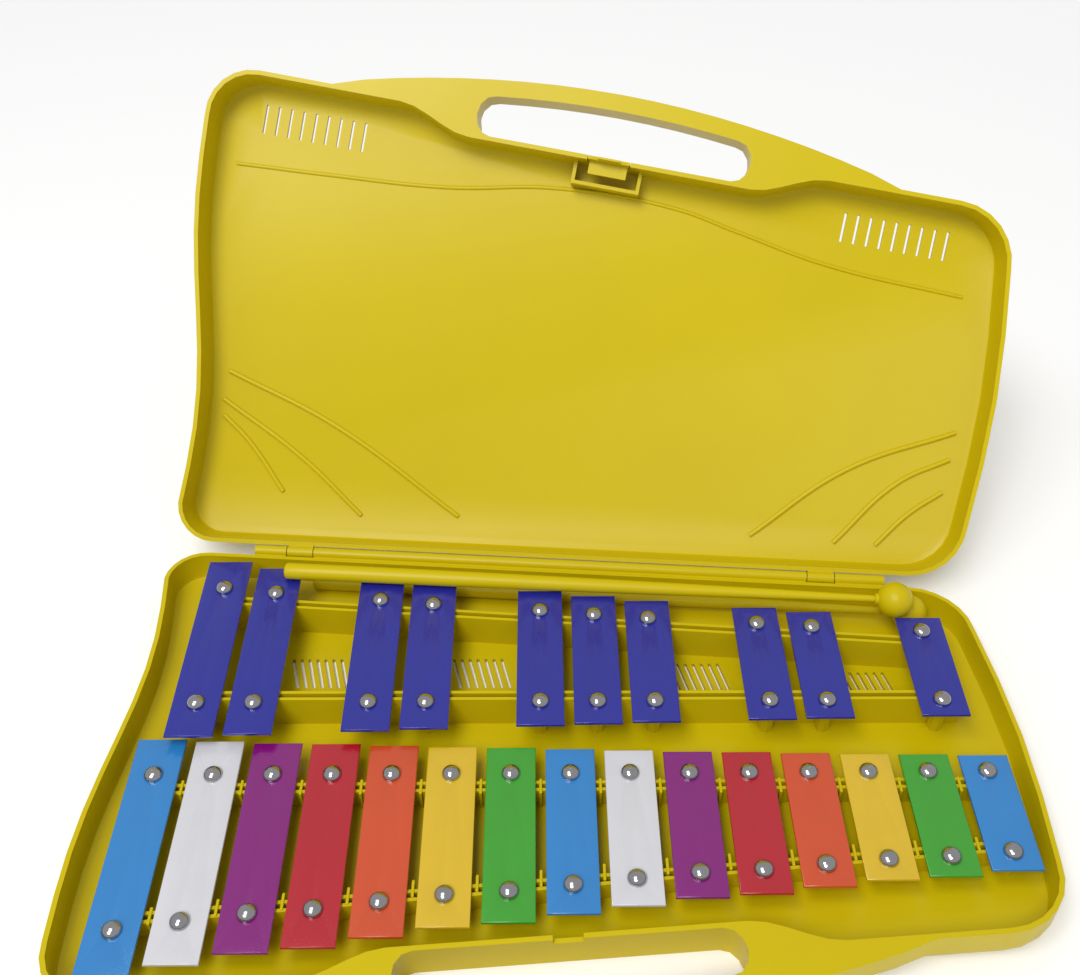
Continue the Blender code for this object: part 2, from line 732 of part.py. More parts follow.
def cut_hinge_bores(shell, side):
    bores = []
    for end_name in ("left", "right"):
        start, end = hinge_pin_span(end_name)
        if end_name == "left":
            start -= CUT_MARGIN
            end += RUNNING_GAP
        else:
            start -= RUNNING_GAP
            end += CUT_MARGIN
        bores.append(hinge_cylinder("bore", HINGE_PIN_RADIUS + RUNNING_GAP, start, end))
    boolean(shell, cutter(side + "_hinge_bores", join_meshes(side + "_hinge_bores", bores)))


def make_hinge_pins():
    for side in ("left", "right"):
        start, end = hinge_pin_span(side)
        name = "hinge_pin_" + side
        pin = hinge_cylinder(name, HINGE_PIN_RADIUS, start, end)
        add_object(name, pin, PARTS, STEEL)


def vents():
    """Two rows of narrow vents near the front corners of the lid, along the front edge."""
    cuts = []
    run = (VENT_COUNT - 1) * VENT_PITCH
    left_start = CASE_LEFT - HANDLE_CENTRE[0] + VENT_FROM_CORNER / 2
    right_start = CASE_RIGHT - HANDLE_CENTRE[0] - VENT_FROM_CORNER / 2 - run
    for start in (left_start, right_start):
        for step in range(VENT_COUNT):
            along = start + step * VENT_PITCH
            low = (along - VENT_WIDTH / 2, VENT_FROM_FRONT - VENT_LENGTH / 2, LID_TOP_Z - FLOOR - CUT_MARGIN / 2)
            high = (along + VENT_WIDTH / 2, VENT_FROM_FRONT + VENT_LENGTH / 2, LID_TOP_Z + CUT_MARGIN)
            cuts.append(in_handle_frame(block("vent", low, high)))
    return cuts


def latch_box():
    """A three-sided wall behind the grip slot, standing on the inside of the lid."""
    half = LATCH_BOX_LENGTH / 2
    rear = SLOT_INSET + WALL + LATCH_BOX_DEPTH
    low_z = LID_TOP_Z - FLOOR - LATCH_BOX_HEIGHT
    high_z = LID_TOP_Z - FLOOR / 2
    front = SLOT_INSET + WALL / 2
    walls = [block("wall", (-half, front, low_z), (-half + LATCH_THICKNESS, rear, high_z)),
             block("wall", (half - LATCH_THICKNESS, front, low_z), (half, rear, high_z))]
    cross = block("wall", (-half + LATCH_THICKNESS / 2, rear - LATCH_THICKNESS, low_z),
                  (half - LATCH_THICKNESS / 2, rear, high_z))
    return [in_handle_frame(mesh) for mesh in walls], in_handle_frame(cross)


def latch_notch():
    """The notch in the lid's front wall through which the latch slide is pressed."""
    half = LATCH_NOTCH / 2
    low = (-half, SLOT_INSET - CUT_MARGIN, LID_RIM_Z - CUT_MARGIN)
    high = (half, SLOT_INSET + WALL + CUT_MARGIN / 2, LID_RIM_Z + LATCH_HEIGHT + SEAT_GAP)
    return in_handle_frame(block("latch_notch", low, high))


def make_latch_slide():
    """A press tab that fills the notch, with a foot inside the box and a nose at the rim."""
    half = LATCH_NOTCH / 2 - RUNNING_GAP
    front = SLOT_INSET
    back = front + LATCH_THICKNESS
    low_z = LID_RIM_Z + SEAT_GAP
    tab = block("latch_slide", (-half, front, low_z), (half, back, LID_RIM_Z + LATCH_HEIGHT))
    foot_half = half - LATCH_THICKNESS / 2
    foot = block("latch_foot", (-foot_half, back - LATCH_THICKNESS / 2, low_z + LATCH_HEIGHT - 2 * LATCH_THICKNESS),
                 (foot_half, back + LATCH_FOOT, low_z + LATCH_HEIGHT - LATCH_THICKNESS))
    nose_half = LATCH_NOSE_WIDTH / 2
    nose = block("latch_nose", (-nose_half, front + SEAT_GAP, RIM_Z - LATCH_NOSE),
                 (nose_half, back - SEAT_GAP, low_z + LATCH_THICKNESS))
    slide = add_object("latch_slide", in_handle_frame(tab), PARTS, YELLOW)
    boolean(slide, cutter("latch_foot", in_handle_frame(foot)), 'UNION')
    boolean(slide, cutter("latch_nose", in_handle_frame(nose)), 'UNION')
    return slide


def make_lid():
    """The lid, modelled closed on the base."""
    lid = shell_solid("lid_case", LID_RIM_Z, LID_TOP_Z, "bottom", YELLOW)
    cut_compartment(lid, LID_RIM_Z - CUT_MARGIN, LID_TOP_Z - FLOOR, floor_low=False)
    side_walls, cross_wall = latch_box()
    boolean(lid, cutter("lid_latch_walls", join_meshes("lid_latch_walls", side_walls)), 'UNION')
    boolean(lid, cutter("lid_latch_cross", cross_wall), 'UNION')
    cut_slot(lid, LID_RIM_Z, LID_TOP_Z)
    boolean(lid, cutter("lid_latch_notch", latch_notch()))
    boolean(lid, cutter("lid_vents", join_meshes("lid_vents", vents())))
    add_hinge_half(lid, "lid")
    return lid


def open_lid(pieces):
    """Everything on the lid turns with an empty on the hinge axis."""
    hinge = bpy.data.objects.new("lid_hinge", None)
    hinge.matrix_world = HINGE_FRAME
    PARTS.objects.link(hinge)
    bpy.context.view_layer.update()
    closed = hinge.matrix_world.inverted()
    for piece in pieces:
        piece.parent = hinge
        piece.matrix_parent_inverse = closed
    hinge.matrix_world = HINGE_FRAME @ Matrix.Rotation(-LID_OPEN_ANGLE, 4, 'X')
    bpy.context.view_layer.update()


def stick_radius(share):
    """The stick stays thick for most of its length and thins towards the neck."""
    return MALLET_BUTT_RADIUS + (MALLET_NECK_RADIUS - MALLET_BUTT_RADIUS) * share ** 2.2


def stick_profile():
    """From the neck end inside the head, down to the rounded butt, along local Z."""
    stop = MALLET_LENGTH - (MALLET_HEAD_RADIUS - MALLET_TIP_IN_HEAD)
    profile = [(0.0, stop), (MALLET_NECK_RADIUS, stop)]
    steps = 7
    for step in range(1, steps):
        share = 1 - step / steps
        profile.append((stick_radius(share), MALLET_LENGTH * share))
    nose = MALLET_BUTT_RADIUS * 0.6
    profile += [(MALLET_BUTT_RADIUS, nose), (MALLET_BUTT_RADIUS * 0.75, nose * 0.25), (0.0, 0.0)]
    return profile


def make_mallet(label, butt, head):
    """A stick and a bored ball head on a line from the butt to the middle of the head."""
    axis = (head - butt).normalized()
    turn = axis.to_track_quat('Z', 'Y').to_matrix().to_4x4()
    place = Matrix.Translation(head) @ turn @ Matrix.Translation((0.0, 0.0, -MALLET_LENGTH))
    stick = add_object(label + "_stick", turned(label, stick_profile(), MALLET_SIDES, place), PARTS, YELLOW)
    stick.data.shade_smooth()
    bm = bmesh.new()
    bmesh.ops.create_uvsphere(bm, u_segments=16, v_segments=10, radius=MALLET_HEAD_RADIUS)
    bmesh.ops.transform(bm, matrix=Matrix.Translation(head) @ turn, verts=bm.verts)
    ball = add_object(label + "_head", mesh_from(bm, label), PARTS, YELLOW)
    ball.data.shade_smooth()
    bore_bottom = MALLET_TIP_IN_HEAD - MALLET_HEAD_RADIUS + SEAT_GAP
    move = Matrix.Translation(head) @ turn @ Matrix.Translation((0.0, 0.0, -MALLET_HEAD_RADIUS - CUT_MARGIN))
    depth = MALLET_HEAD_RADIUS + CUT_MARGIN + bore_bottom
    bore = cylinder(label + "_bore", MALLET_NECK_RADIUS + RUNNING_GAP, depth, MALLET_SIDES, move)
    boolean(ball, cutter(label + "_bore", bore))


def make_mallets():
    """One mallet lies in the trough behind the bars, and the other rests on it and on the bar ends."""
    last = CHROMATICS[-1]
    second = CHROMATICS[1]
    low_z = FLOOR + SEAT_GAP
    reach = MALLET_HEAD_RADIUS + SEAT_GAP
    head_2 = Vector((MALLET_2_HEAD_X, rear_edge(MALLET_2_HEAD_X) - WALL - reach, low_z + MALLET_HEAD_RADIUS))
    butt_2 = Vector((0.0, 0.0, low_z + MALLET_BUTT_RADIUS))
    butt_2.x = second[0] + BAR_WIDTH / 2 + 2 * MALLET_BUTT_RADIUS
    butt_2.y = rear_edge(butt_2.x) - WALL - MALLET_BUTT_RADIUS - SEAT_GAP
    butt_2 = head_2 + (butt_2 - head_2).normalized() * MALLET_LENGTH
    make_mallet("mallet_2", butt_2, head_2)
    head_1 = Vector((MALLET_1_HEAD_X, last[3] + MALLET_HEAD_RADIUS, 0.0))
    across = math.hypot(head_1.x - head_2.x, head_1.y - head_2.y)
    head_1.z = head_2.z + math.sqrt((2 * MALLET_HEAD_RADIUS + MALLET_1_HEAD_GAP) ** 2 - across ** 2)
    butt_z = CHROMATIC_TOP_Z + SEAT_GAP + MALLET_BUTT_RADIUS
    butt_1 = Vector((second[0], second[3] - MALLET_1_BUTT_ON_BAR, butt_z))
    butt_1 = head_1 + (butt_1 - head_1).normalized() * MALLET_LENGTH
    make_mallet("mallet_1", butt_1, head_1)


clear_scene()
PARTS = new_collection("metallophone")
CUTTERS = new_collection("cutters")
YELLOW = material("case_yellow", (0.60, 0.44, 0.010), 0.35)
LIGHT_BLUE = material("bar_light_blue", (0.021, 0.216, 0.52), 0.3)
WHITE = material("bar_white", (0.62, 0.62, 0.66), 0.3)
PURPLE = material("bar_purple", (0.21, 0.005, 0.17), 0.3)
RED = material("bar_red", (0.42, 0.007, 0.018), 0.3)
ORANGE = material("bar_orange", (0.56, 0.065, 0.018), 0.3)
BAR_YELLOW = material("bar_yellow", (0.63, 0.43, 0.017), 0.3)
GREEN = material("bar_green", (0.042, 0.305, 0.022), 0.3)
DARK_BLUE = material("bar_dark_blue", (0.014, 0.018, 0.27), 0.3)
CHROME = material("pin_chrome", (0.75, 0.75, 0.77), 0.12, 1.0)
STEEL = material("pin_steel", (0.55, 0.55, 0.57), 0.3, 1.0)
NATURAL_COLOURS = (LIGHT_BLUE, WHITE, PURPLE, RED, ORANGE, BAR_YELLOW, GREEN)

make_base()
lid_shell = make_lid()
latch = make_latch_slide()
open_lid([lid_shell, latch] + [obj for obj in CUTTERS.objects if obj.name.startswith(("lid_", "latch_"))])
make_all_bars()
make_front_pins()
make_hinge_pins()
make_mallets()
bpy.context.view_layer.update()
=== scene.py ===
"""The looks of the metallophone: paint, moulded plastic, chrome, and the fine forms on its frame."""

import json
import math

import bmesh
import bpy
from mathutils import Matrix, Vector


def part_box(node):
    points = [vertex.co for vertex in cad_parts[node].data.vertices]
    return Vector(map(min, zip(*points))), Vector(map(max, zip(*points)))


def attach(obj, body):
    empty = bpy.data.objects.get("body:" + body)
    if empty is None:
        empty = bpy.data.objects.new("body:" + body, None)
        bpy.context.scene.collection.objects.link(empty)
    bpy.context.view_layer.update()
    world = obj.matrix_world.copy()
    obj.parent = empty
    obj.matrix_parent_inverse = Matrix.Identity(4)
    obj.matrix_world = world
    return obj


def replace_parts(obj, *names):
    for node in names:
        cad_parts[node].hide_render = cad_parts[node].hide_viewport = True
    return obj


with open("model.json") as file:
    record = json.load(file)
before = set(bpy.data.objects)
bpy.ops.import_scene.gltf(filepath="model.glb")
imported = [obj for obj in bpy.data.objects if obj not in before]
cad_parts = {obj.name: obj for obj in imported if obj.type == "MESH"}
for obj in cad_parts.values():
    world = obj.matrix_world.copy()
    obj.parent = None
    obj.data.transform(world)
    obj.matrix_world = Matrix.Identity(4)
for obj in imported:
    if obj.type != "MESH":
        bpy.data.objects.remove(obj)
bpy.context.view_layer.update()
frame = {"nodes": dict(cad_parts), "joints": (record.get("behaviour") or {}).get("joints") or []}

# Photograph's camera, in metres and radians
CAMERA_PLACE = (-0.0080, -0.3161, 0.4391)
CAMERA_PITCH = math.radians(90 - 41.68)
CAMERA_ROLL = -0.0049
LENS_MM = 42.28
SENSOR_MM = 36.0

# Shells
WELD_DISTANCE = 0.000002
FLAT_WITHIN = math.radians(0.3)
SHELL_EDGE = 0.00035
LATCH_EDGE = SHELL_EDGE / 2
BEVEL_FROM = math.radians(40)
EDGE_SEGMENTS = 2

# Bars
BAR_EDGE = 0.0004
BAR_EDGE_ROUNDNESS = 2
HOLE_RADIUS = 0.0021
HOLE_SIDES = 28

# Pins
HEAD_RADIUS = 0.0038
HEAD_HEIGHT = 0.0029
HEAD_LIFT = 0.00015
HEAD_STEPS = 12
RIM_INSET = 0.0002
RIM_DROP = 0.0001
SHANK_RADIUS = 0.0015
SHANK_DEPTH = 0.0075
PIN_SIDES = 36

# Fins on the rails
FIN_WIDTH = 0.0012
FIN_LENGTH = 0.007
FIN_EDGE = 0.0003
FIN_SETBACK = 0.005
FIN_ABOVE_BAR_UNDERSIDE = 0.0002
FLOOR_TOP = 0.002
FIN_ROOT = 0.0005

# Raised lines on the lid's inner panel, as plan points of the closed lid in millimetres
LID_OPEN = math.radians(127)
LID_PANEL = 0.002
WAVE_RADIUS = 0.0009
ARC_RADIUS = 0.0012
LINE_ROUNDNESS = 3
LINE_STEPS = 10
MM_IN_A_METRE = 1000
LID_WAVE = [(-175.7, -66.3), (-129.3, -65.6), (-73.9, -65.9), (-22.0, -71.1), (35.2, -67.6),
            (64.3, -60.3), (107.4, -49.7), (172.0, -41.8)]
LID_ARCS = {
    "left_1": [(-169.4, 32.6), (-115.3, 52.9), (-51.1, 89.4)],
    "left_2": [(-170.9, 46.4), (-129.6, 70.4), (-98.2, 94.7)],
    "left_3": [(-170.1, 54.2), (-156.4, 65.6), (-137.6, 87.7)],
    "right_1": [(178.0, 21.1), (130.0, 44.5), (88.9, 81.2)],
    "right_2": [(177.1, 34.0), (154.5, 47.9), (128.6, 79.7)],
    "right_3": [(175.8, 49.8), (161.7, 61.8), (148.2, 78.5)],
}

# Mallets
MALLET_SIDES = 40
BUTT_RADIUS = 0.00375
BUTT_ROUND = 0.002
BUTT_STEPS = 6
BUTT_SEARCH_DEPTH = 0.0015
NECK_RADIUS = 0.0014
NECK_START = 0.4
STICK_STEPS = 26
TAPER_POWER = 2.2
BALL_STEPS = 28
BALL_STEPS_UNDER_COLLAR = 2
SEAM_HEIGHT = 0.00012
COLLAR_RADIUS = 0.0026
COLLAR_START = 0.93
COLLAR_END = 1.12

# Paints, plastic and metal
BAR_PAINTS = {
    "light_blue": (0.022, 0.215, 0.560),
    "white": (0.640, 0.640, 0.680),
    "purple": (0.215, 0.004, 0.175),
    "red": (0.440, 0.006, 0.018),
    "orange": (0.600, 0.070, 0.014),
    "yellow": (0.680, 0.450, 0.012),
    "green": (0.040, 0.330, 0.018),
    "dark_blue": (0.012, 0.016, 0.290),
}
NATURAL_ORDER = ("light_blue", "white", "purple", "red", "orange", "yellow", "green")
CHROMATIC_PAINT = "dark_blue"
PAINT_WORN_SHARE = 0.72
METAL_WORN_SHARE = 0.7
CASE_COLOUR = (0.590, 0.465, 0.0015)
CASE_WORN_COLOUR = (0.490, 0.370, 0.001)
CHROME_COLOUR = (0.46, 0.46, 0.48)
STEEL_COLOUR = (0.42, 0.42, 0.44)
FLOOR_COLOUR = (0.97, 0.97, 0.97)
RELIEF_DEPTH = 0.0003

# Studio
FLOOR_REACH = 4.0
KEY_STRENGTH = 1.35
KEY_SOFTNESS = math.radians(25)
KEY_TURN = (math.radians(32), math.radians(-18), 0.0)
SOFTBOX_WATTS = 2.2
SOFTBOX_SIZE = 0.35
SOFTBOX_PLACE = (-0.25, -0.15, 0.9)
SOFTBOX_TURN = (math.radians(8), math.radians(-16), 0.0)
SURROUND_ON_OBJECT = 0.56
SURROUND_SEEN = 1.0

NATURALS = sorted(name for name in frame["nodes"] if name.startswith("natural_bar"))
CHROMATICS = sorted(name for name in frame["nodes"] if name.startswith("chromatic_bar"))


def skin_group():
    """Slow colour drift, a roughness that follows it, and a fine height, for moulded or sprayed skins."""
    group = bpy.data.node_groups.new("sprayed_or_moulded_skin", 'ShaderNodeTree')
    for name in ("Colour", "Worn Colour"):
        group.interface.new_socket(name, in_out='INPUT', socket_type='NodeSocketColor')
    for name in ("Patch Scale", "Grain Scale", "Wear", "Roughness", "Roughness Spread"):
        group.interface.new_socket(name, in_out='INPUT', socket_type='NodeSocketFloat')
    group.interface.new_socket("Colour", in_out='OUTPUT', socket_type='NodeSocketColor')
    for name in ("Roughness", "Height"):
        group.interface.new_socket(name, in_out='OUTPUT', socket_type='NodeSocketFloat')
    nodes, link = group.nodes, group.links.new
    given = nodes.new('NodeGroupInput')
    result = nodes.new('NodeGroupOutput')
    place = nodes.new('ShaderNodeTexCoord')
    patches = nodes.new('ShaderNodeTexNoise')
    grain = nodes.new('ShaderNodeTexNoise')
    for noise, scale, detail in ((patches, "Patch Scale", 4.0), (grain, "Grain Scale", 2.0)):
        noise.inputs["Detail"].default_value = detail
        link(place.outputs["Object"], noise.inputs["Vector"])
        link(given.outputs[scale], noise.inputs["Scale"])
    share = nodes.new('ShaderNodeMath')
    share.operation = 'MULTIPLY'
    link(patches.outputs["Fac"], share.inputs[0])
    link(given.outputs["Wear"], share.inputs[1])
    mix = nodes.new('ShaderNodeMix')
    mix.data_type = 'RGBA'
    link(share.outputs[0], mix.inputs["Factor"])
    link(given.outputs["Colour"], mix.inputs["A"])
    link(given.outputs["Worn Colour"], mix.inputs["B"])
    spread = nodes.new('ShaderNodeMath')
    spread.operation = 'MULTIPLY_ADD'
    link(patches.outputs["Fac"], spread.inputs[0])
    link(given.outputs["Roughness Spread"], spread.inputs[1])
    link(given.outputs["Roughness"], spread.inputs[2])
    link(mix.outputs["Result"], result.inputs["Colour"])
    link(spread.outputs[0], result.inputs["Roughness"])
    link(grain.outputs["Fac"], result.inputs["Height"])
    return group


SKIN = skin_group()


def shader_of(mat):
    return mat.node_tree.nodes["Principled BSDF"]


def skin_material(name, colour, worn, patch, grain, wear, roughness, spread, bump):
    """A material whose colour, roughness and relief come from the skin group."""
    mat = bpy.data.materials.new(name)
    mat.use_nodes = True
    nodes, link = mat.node_tree.nodes, mat.node_tree.links.new
    shader = shader_of(mat)
    skin = nodes.new('ShaderNodeGroup')
    skin.node_tree = SKIN
    settings = {"Colour": (*colour, 1.0), "Worn Colour": (*worn, 1.0), "Patch Scale": patch,
                "Grain Scale": grain, "Wear": wear, "Roughness": roughness, "Roughness Spread": spread}
    for label, value in settings.items():
        skin.inputs[label].default_value = value
    relief = nodes.new('ShaderNodeBump')
    relief.inputs["Strength"].default_value = bump
    relief.inputs["Distance"].default_value = RELIEF_DEPTH
    link(skin.outputs["Colour"], shader.inputs["Base Color"])
    link(skin.outputs["Roughness"], shader.inputs["Roughness"])
    link(skin.outputs["Height"], relief.inputs["Height"])
    link(relief.outputs["Normal"], shader.inputs["Normal"])
    return mat


def case_plastic():
    mat = skin_material("moulded_yellow", CASE_COLOUR, CASE_WORN_COLOUR, patch=14.0, grain=1100.0,
                        wear=0.55, roughness=0.27, spread=0.14, bump=0.10)
    shader_of(mat).inputs["Specular IOR Level"].default_value = 0.22
    return mat


def darker(colour, share):
    return tuple(channel * share for channel in colour)


def bar_paint(name, colour):
    """Sprayed gloss paint with a slight orange peel under a clear coat."""
    mat = skin_material("paint_" + name, colour, darker(colour, PAINT_WORN_SHARE), patch=45.0, grain=1500.0,
                        wear=0.5, roughness=0.14, spread=0.14, bump=0.35)
    shader_of(mat).inputs["Coat Weight"].default_value = 0.6
    shader_of(mat).inputs["Coat Roughness"].default_value = 0.08
    return mat


def polished_metal(name, colour, roughness):
    mat = skin_material(name, colour, darker(colour, METAL_WORN_SHARE), patch=350.0, grain=2600.0,
                        wear=0.6, roughness=roughness, spread=0.12, bump=0.04)
    shader_of(mat).inputs["Metallic"].default_value = 1.0
    return mat


YELLOW = case_plastic()
PAINT = {name: bar_paint(name, colour) for name, colour in BAR_PAINTS.items()}
CHROME = polished_metal("chromed_head", CHROME_COLOUR, roughness=0.07)
STEEL = polished_metal("drawn_steel", STEEL_COLOUR, roughness=0.28)


def add_piece(name, mesh, mat, body):
    obj = bpy.data.objects.new(name, mesh)
    bpy.context.scene.collection.objects.link(obj)
    mesh.materials.clear()
    mesh.materials.append(mat)
    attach(obj, body)
    return obj


def smooth(mesh, degrees):
    """Soft shading that breaks at edges sharper than the given angle."""
    mesh.shade_smooth()
    mesh.set_sharp_from_angle(angle=math.radians(degrees))


def round_edges(piece, width):
    bevel = piece.modifiers.new("edge_round", 'BEVEL')
    bevel.width = width
    bevel.segments = EDGE_SEGMENTS
    return bevel


def refined_shell(node, name, body, edge):
    """The frame's shell with its seams closed, soft normals and a small round on each sharp edge."""
    mesh = frame["nodes"][node].data.copy()
    bm = bmesh.new()
    bm.from_mesh(mesh)
    bmesh.ops.remove_doubles(bm, verts=bm.verts, dist=WELD_DISTANCE)
    bmesh.ops.dissolve_limit(bm, angle_limit=FLAT_WITHIN, verts=bm.verts, edges=bm.edges)
    bm.to_mesh(mesh)
    bm.free()
    if "custom_normal" in mesh.attributes:
        mesh.attributes.remove(mesh.attributes["custom_normal"])
    smooth(mesh, degrees=34)
    piece = add_piece(name, mesh, YELLOW, body)
    bevel = round_edges(piece, edge)
    bevel.limit_method = 'ANGLE'
    bevel.angle_limit = BEVEL_FROM
    bevel.harden_normals = True
    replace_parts(piece, node)


def shells():
    """The two shells and the latch tab, and steel for the hinge pins."""
    refined_shell("base_case", "base_shell", "base", SHELL_EDGE)
    refined_shell("lid_case", "lid_shell", "lid", SHELL_EDGE)
    refined_shell("latch_slide", "latch_tab", "latch", LATCH_EDGE)
    for node in ("hinge_pin_left", "hinge_pin_right"):
        slots = frame["nodes"][node].data.materials
        slots.clear()
        slots.append(STEEL)


def curve_mesh(curve, name):
    """The mesh of a curve data block, with its doubled points merged. The helper object is removed."""
    helper = bpy.data.objects.new(name, curve)
    bpy.context.scene.collection.objects.link(helper)
    bpy.context.view_layer.update()
    depsgraph = bpy.context.evaluated_depsgraph_get()
    mesh = bpy.data.meshes.new_from_object(helper.evaluated_get(depsgraph))
    bpy.data.objects.remove(helper, do_unlink=True)
    bm = bmesh.new()
    bm.from_mesh(mesh)
    bmesh.ops.remove_doubles(bm, verts=bm.verts, dist=WELD_DISTANCE / 2)
    bm.to_mesh(mesh)
    bm.free()
    return mesh


def closed_spline(curve, points):
    spline = curve.splines.new('POLY')
    spline.points.add(len(points) - 1)
    for target, (x, y) in zip(spline.points, points):
        target.co = (x, y, 0.0, 1.0)
    spline.use_cyclic_u = True


def hole_outline(hole_y):
    angles = [2 * math.pi * step / HOLE_SIDES for step in range(HOLE_SIDES)]
    return [(HOLE_RADIUS * math.cos(angle), hole_y + HOLE_RADIUS * math.sin(angle)) for angle in angles]


def pin_name(bar):
    return bar.replace("_bar_", "_pin_")


def front_pin_y(bar):
    low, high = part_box(pin_name(bar))
    return (low.y + high.y) / 2


def painted_bar(bar, paint_name):
    """A plate with two round holes and eased edges, cut from a filled outline."""
    low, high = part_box(bar)
    middle = (low + high) / 2
    half = (high - low) / 2
    front = front_pin_y(bar) - middle.y
    curve = bpy.data.curves.new(bar, 'CURVE')
    curve.dimensions = '2D'
    curve.fill_mode = 'BOTH'
    curve.extrude = half.z - BAR_EDGE
    curve.bevel_depth = BAR_EDGE
    curve.bevel_resolution = BAR_EDGE_ROUNDNESS
    curve.offset = -BAR_EDGE
    closed_spline(curve, [(-half.x, -half.y), (half.x, -half.y), (half.x, half.y), (-half.x, half.y)])
    for hole_y in (front, -front):
        closed_spline(curve, hole_outline(hole_y))
    mesh = curve_mesh(curve, bar)
    mesh.transform(Matrix.Translation(middle))
    smooth(mesh, degrees=40)
    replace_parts(add_piece("painted_" + bar, mesh, PAINT[paint_name], "base"), bar)


def turned_mesh(name, profile, sides):
    """A profile of (radius, height) points turned about Z."""
    bm = bmesh.new()
    points = [bm.verts.new((radius, 0.0, height)) for radius, height in profile]
    edges = [bm.edges.new(pair) for pair in zip(points, points[1:])]
    bmesh.ops.spin(bm, geom=points + edges, cent=(0, 0, 0), axis=(0, 0, 1),
                   angle=2 * math.pi, steps=sides, use_merge=True)
    bmesh.ops.remove_doubles(bm, verts=bm.verts, dist=WELD_DISTANCE / 2)
    bmesh.ops.recalc_face_normals(bm, faces=bm.faces)
    mesh = bpy.data.meshes.new(name)
    bm.to_mesh(mesh)
    bm.free()
    return mesh


def quarter_turn(step, steps):
    return 0.5 * math.pi * step / steps


def pin_profile():
    """A domed head on a shank, from the crown down."""
    profile = [(0.0, HEAD_LIFT + HEAD_HEIGHT)]
    for step in range(1, HEAD_STEPS + 1):
        angle = quarter_turn(step, HEAD_STEPS)
        profile.append((HEAD_RADIUS * math.sin(angle), HEAD_LIFT + HEAD_HEIGHT * math.cos(angle)))
    profile += [(HEAD_RADIUS - RIM_INSET, HEAD_LIFT - RIM_DROP), (SHANK_RADIUS, HEAD_LIFT),
                (SHANK_RADIUS, -SHANK_DEPTH), (0.0, -SHANK_DEPTH)]
    return profile


def chrome_pin(name, x, y, bar_top):
    mesh = turned_mesh(name, pin_profile(), PIN_SIDES)
    mesh.transform(Matrix.Translation((x, y, bar_top)))
    smooth(mesh, degrees=40)
    return add_piece(name, mesh, CHROME, "base")


def bars_and_pins():
    """Each bar with its front pin, and its rear pin as far from the bar's middle as the front one."""
    paints = [NATURAL_ORDER[place % len(NATURAL_ORDER)] for place in range(len(NATURALS))]
    paints += [CHROMATIC_PAINT] * len(CHROMATICS)
    for bar, paint_name in zip(NATURALS + CHROMATICS, paints):
        painted_bar(bar, paint_name)
        low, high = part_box(bar)
        x = (low.x + high.x) / 2
        front = front_pin_y(bar)
        rear = low.y + high.y - front
        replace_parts(chrome_pin(bar.replace("_bar_", "_front_pin_"), x, front, high.z), pin_name(bar))
        chrome_pin(bar.replace("_bar_", "_rear_pin_"), x, rear, high.z)


def box_into(bm, low, high):
    made = bmesh.ops.create_cube(bm, size=1.0)
    size = Vector(high) - Vector(low)
    middle = (Vector(high) + Vector(low)) / 2
    move = Matrix.Translation(middle) @ Matrix.Diagonal((*size, 1.0))
    bmesh.ops.transform(bm, matrix=move, verts=made["verts"])


def rail_fins():
    """Small upright fins across the rails, between neighbouring natural bars."""
    bm = bmesh.new()
    for left, right in zip(NATURALS, NATURALS[1:]):
        low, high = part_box(left)
        x = (high.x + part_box(right)[0].x) / 2
        top = low.z + FIN_ABOVE_BAR_UNDERSIDE
        front = (front_pin_y(left) + front_pin_y(right)) / 2
        rear = low.y + high.y - front_pin_y(left)
        for y in (front + FIN_SETBACK, rear - FIN_SETBACK):
            box_into(bm, (x - FIN_WIDTH / 2, y - FIN_LENGTH / 2, FLOOR_TOP - FIN_ROOT),
                     (x + FIN_WIDTH / 2, y + FIN_LENGTH / 2, top))
    mesh = bpy.data.meshes.new("rail_fins")
    bm.to_mesh(mesh)
    bm.free()
    round_edges(add_piece("rail_fins", mesh, YELLOW, "base"), FIN_EDGE)


def lid_turn():
    """The turn that takes the closed lid to the open lid."""
    joint = next(joint for joint in frame["joints"] if joint["name"] == "lid_hinge")
    place = Matrix.Translation(joint["pos_m"])
    return place @ Matrix.Rotation(LID_OPEN, 4, Vector(joint["axis"])) @ place.inverted()


def lid_inner_height(opening):
    """Height of the lid's inner panel when the lid is closed."""
    closing = opening.inverted()
    return max((closing @ point.co).z for point in frame["nodes"]["lid_case"].data.vertices) - LID_PANEL


def raised_line(name, plan_points, radius, height, opening):
    """A line half sunk in the lid's inner panel, through plan points of the closed lid."""
    curve = bpy.data.curves.new(name, 'CURVE')
    curve.dimensions = '3D'
    curve.bevel_depth = radius
    curve.bevel_resolution = LINE_ROUNDNESS
    curve.resolution_u = LINE_STEPS
    curve.use_fill_caps = True
    spline = curve.splines.new('BEZIER')
    spline.bezier_points.add(len(plan_points) - 1)
    for target, (x, y) in zip(spline.bezier_points, plan_points):
        target.co = (x / MM_IN_A_METRE, y / MM_IN_A_METRE, height)
        target.handle_left_type = 'AUTO'
        target.handle_right_type = 'AUTO'
    mesh = curve_mesh(curve, name)
    mesh.transform(opening)
    smooth(mesh, degrees=60)
    add_piece(name, mesh, YELLOW, "lid")


def lid_relief():
    """The wave below the handle, and the three arcs in each rear corner."""
    opening = lid_turn()
    height = lid_inner_height(opening)
    raised_line("lid_wave", LID_WAVE, WAVE_RADIUS, height, opening)
    for label, plan_points in LID_ARCS.items():
        raised_line("lid_arc_" + label, plan_points, ARC_RADIUS, height, opening)


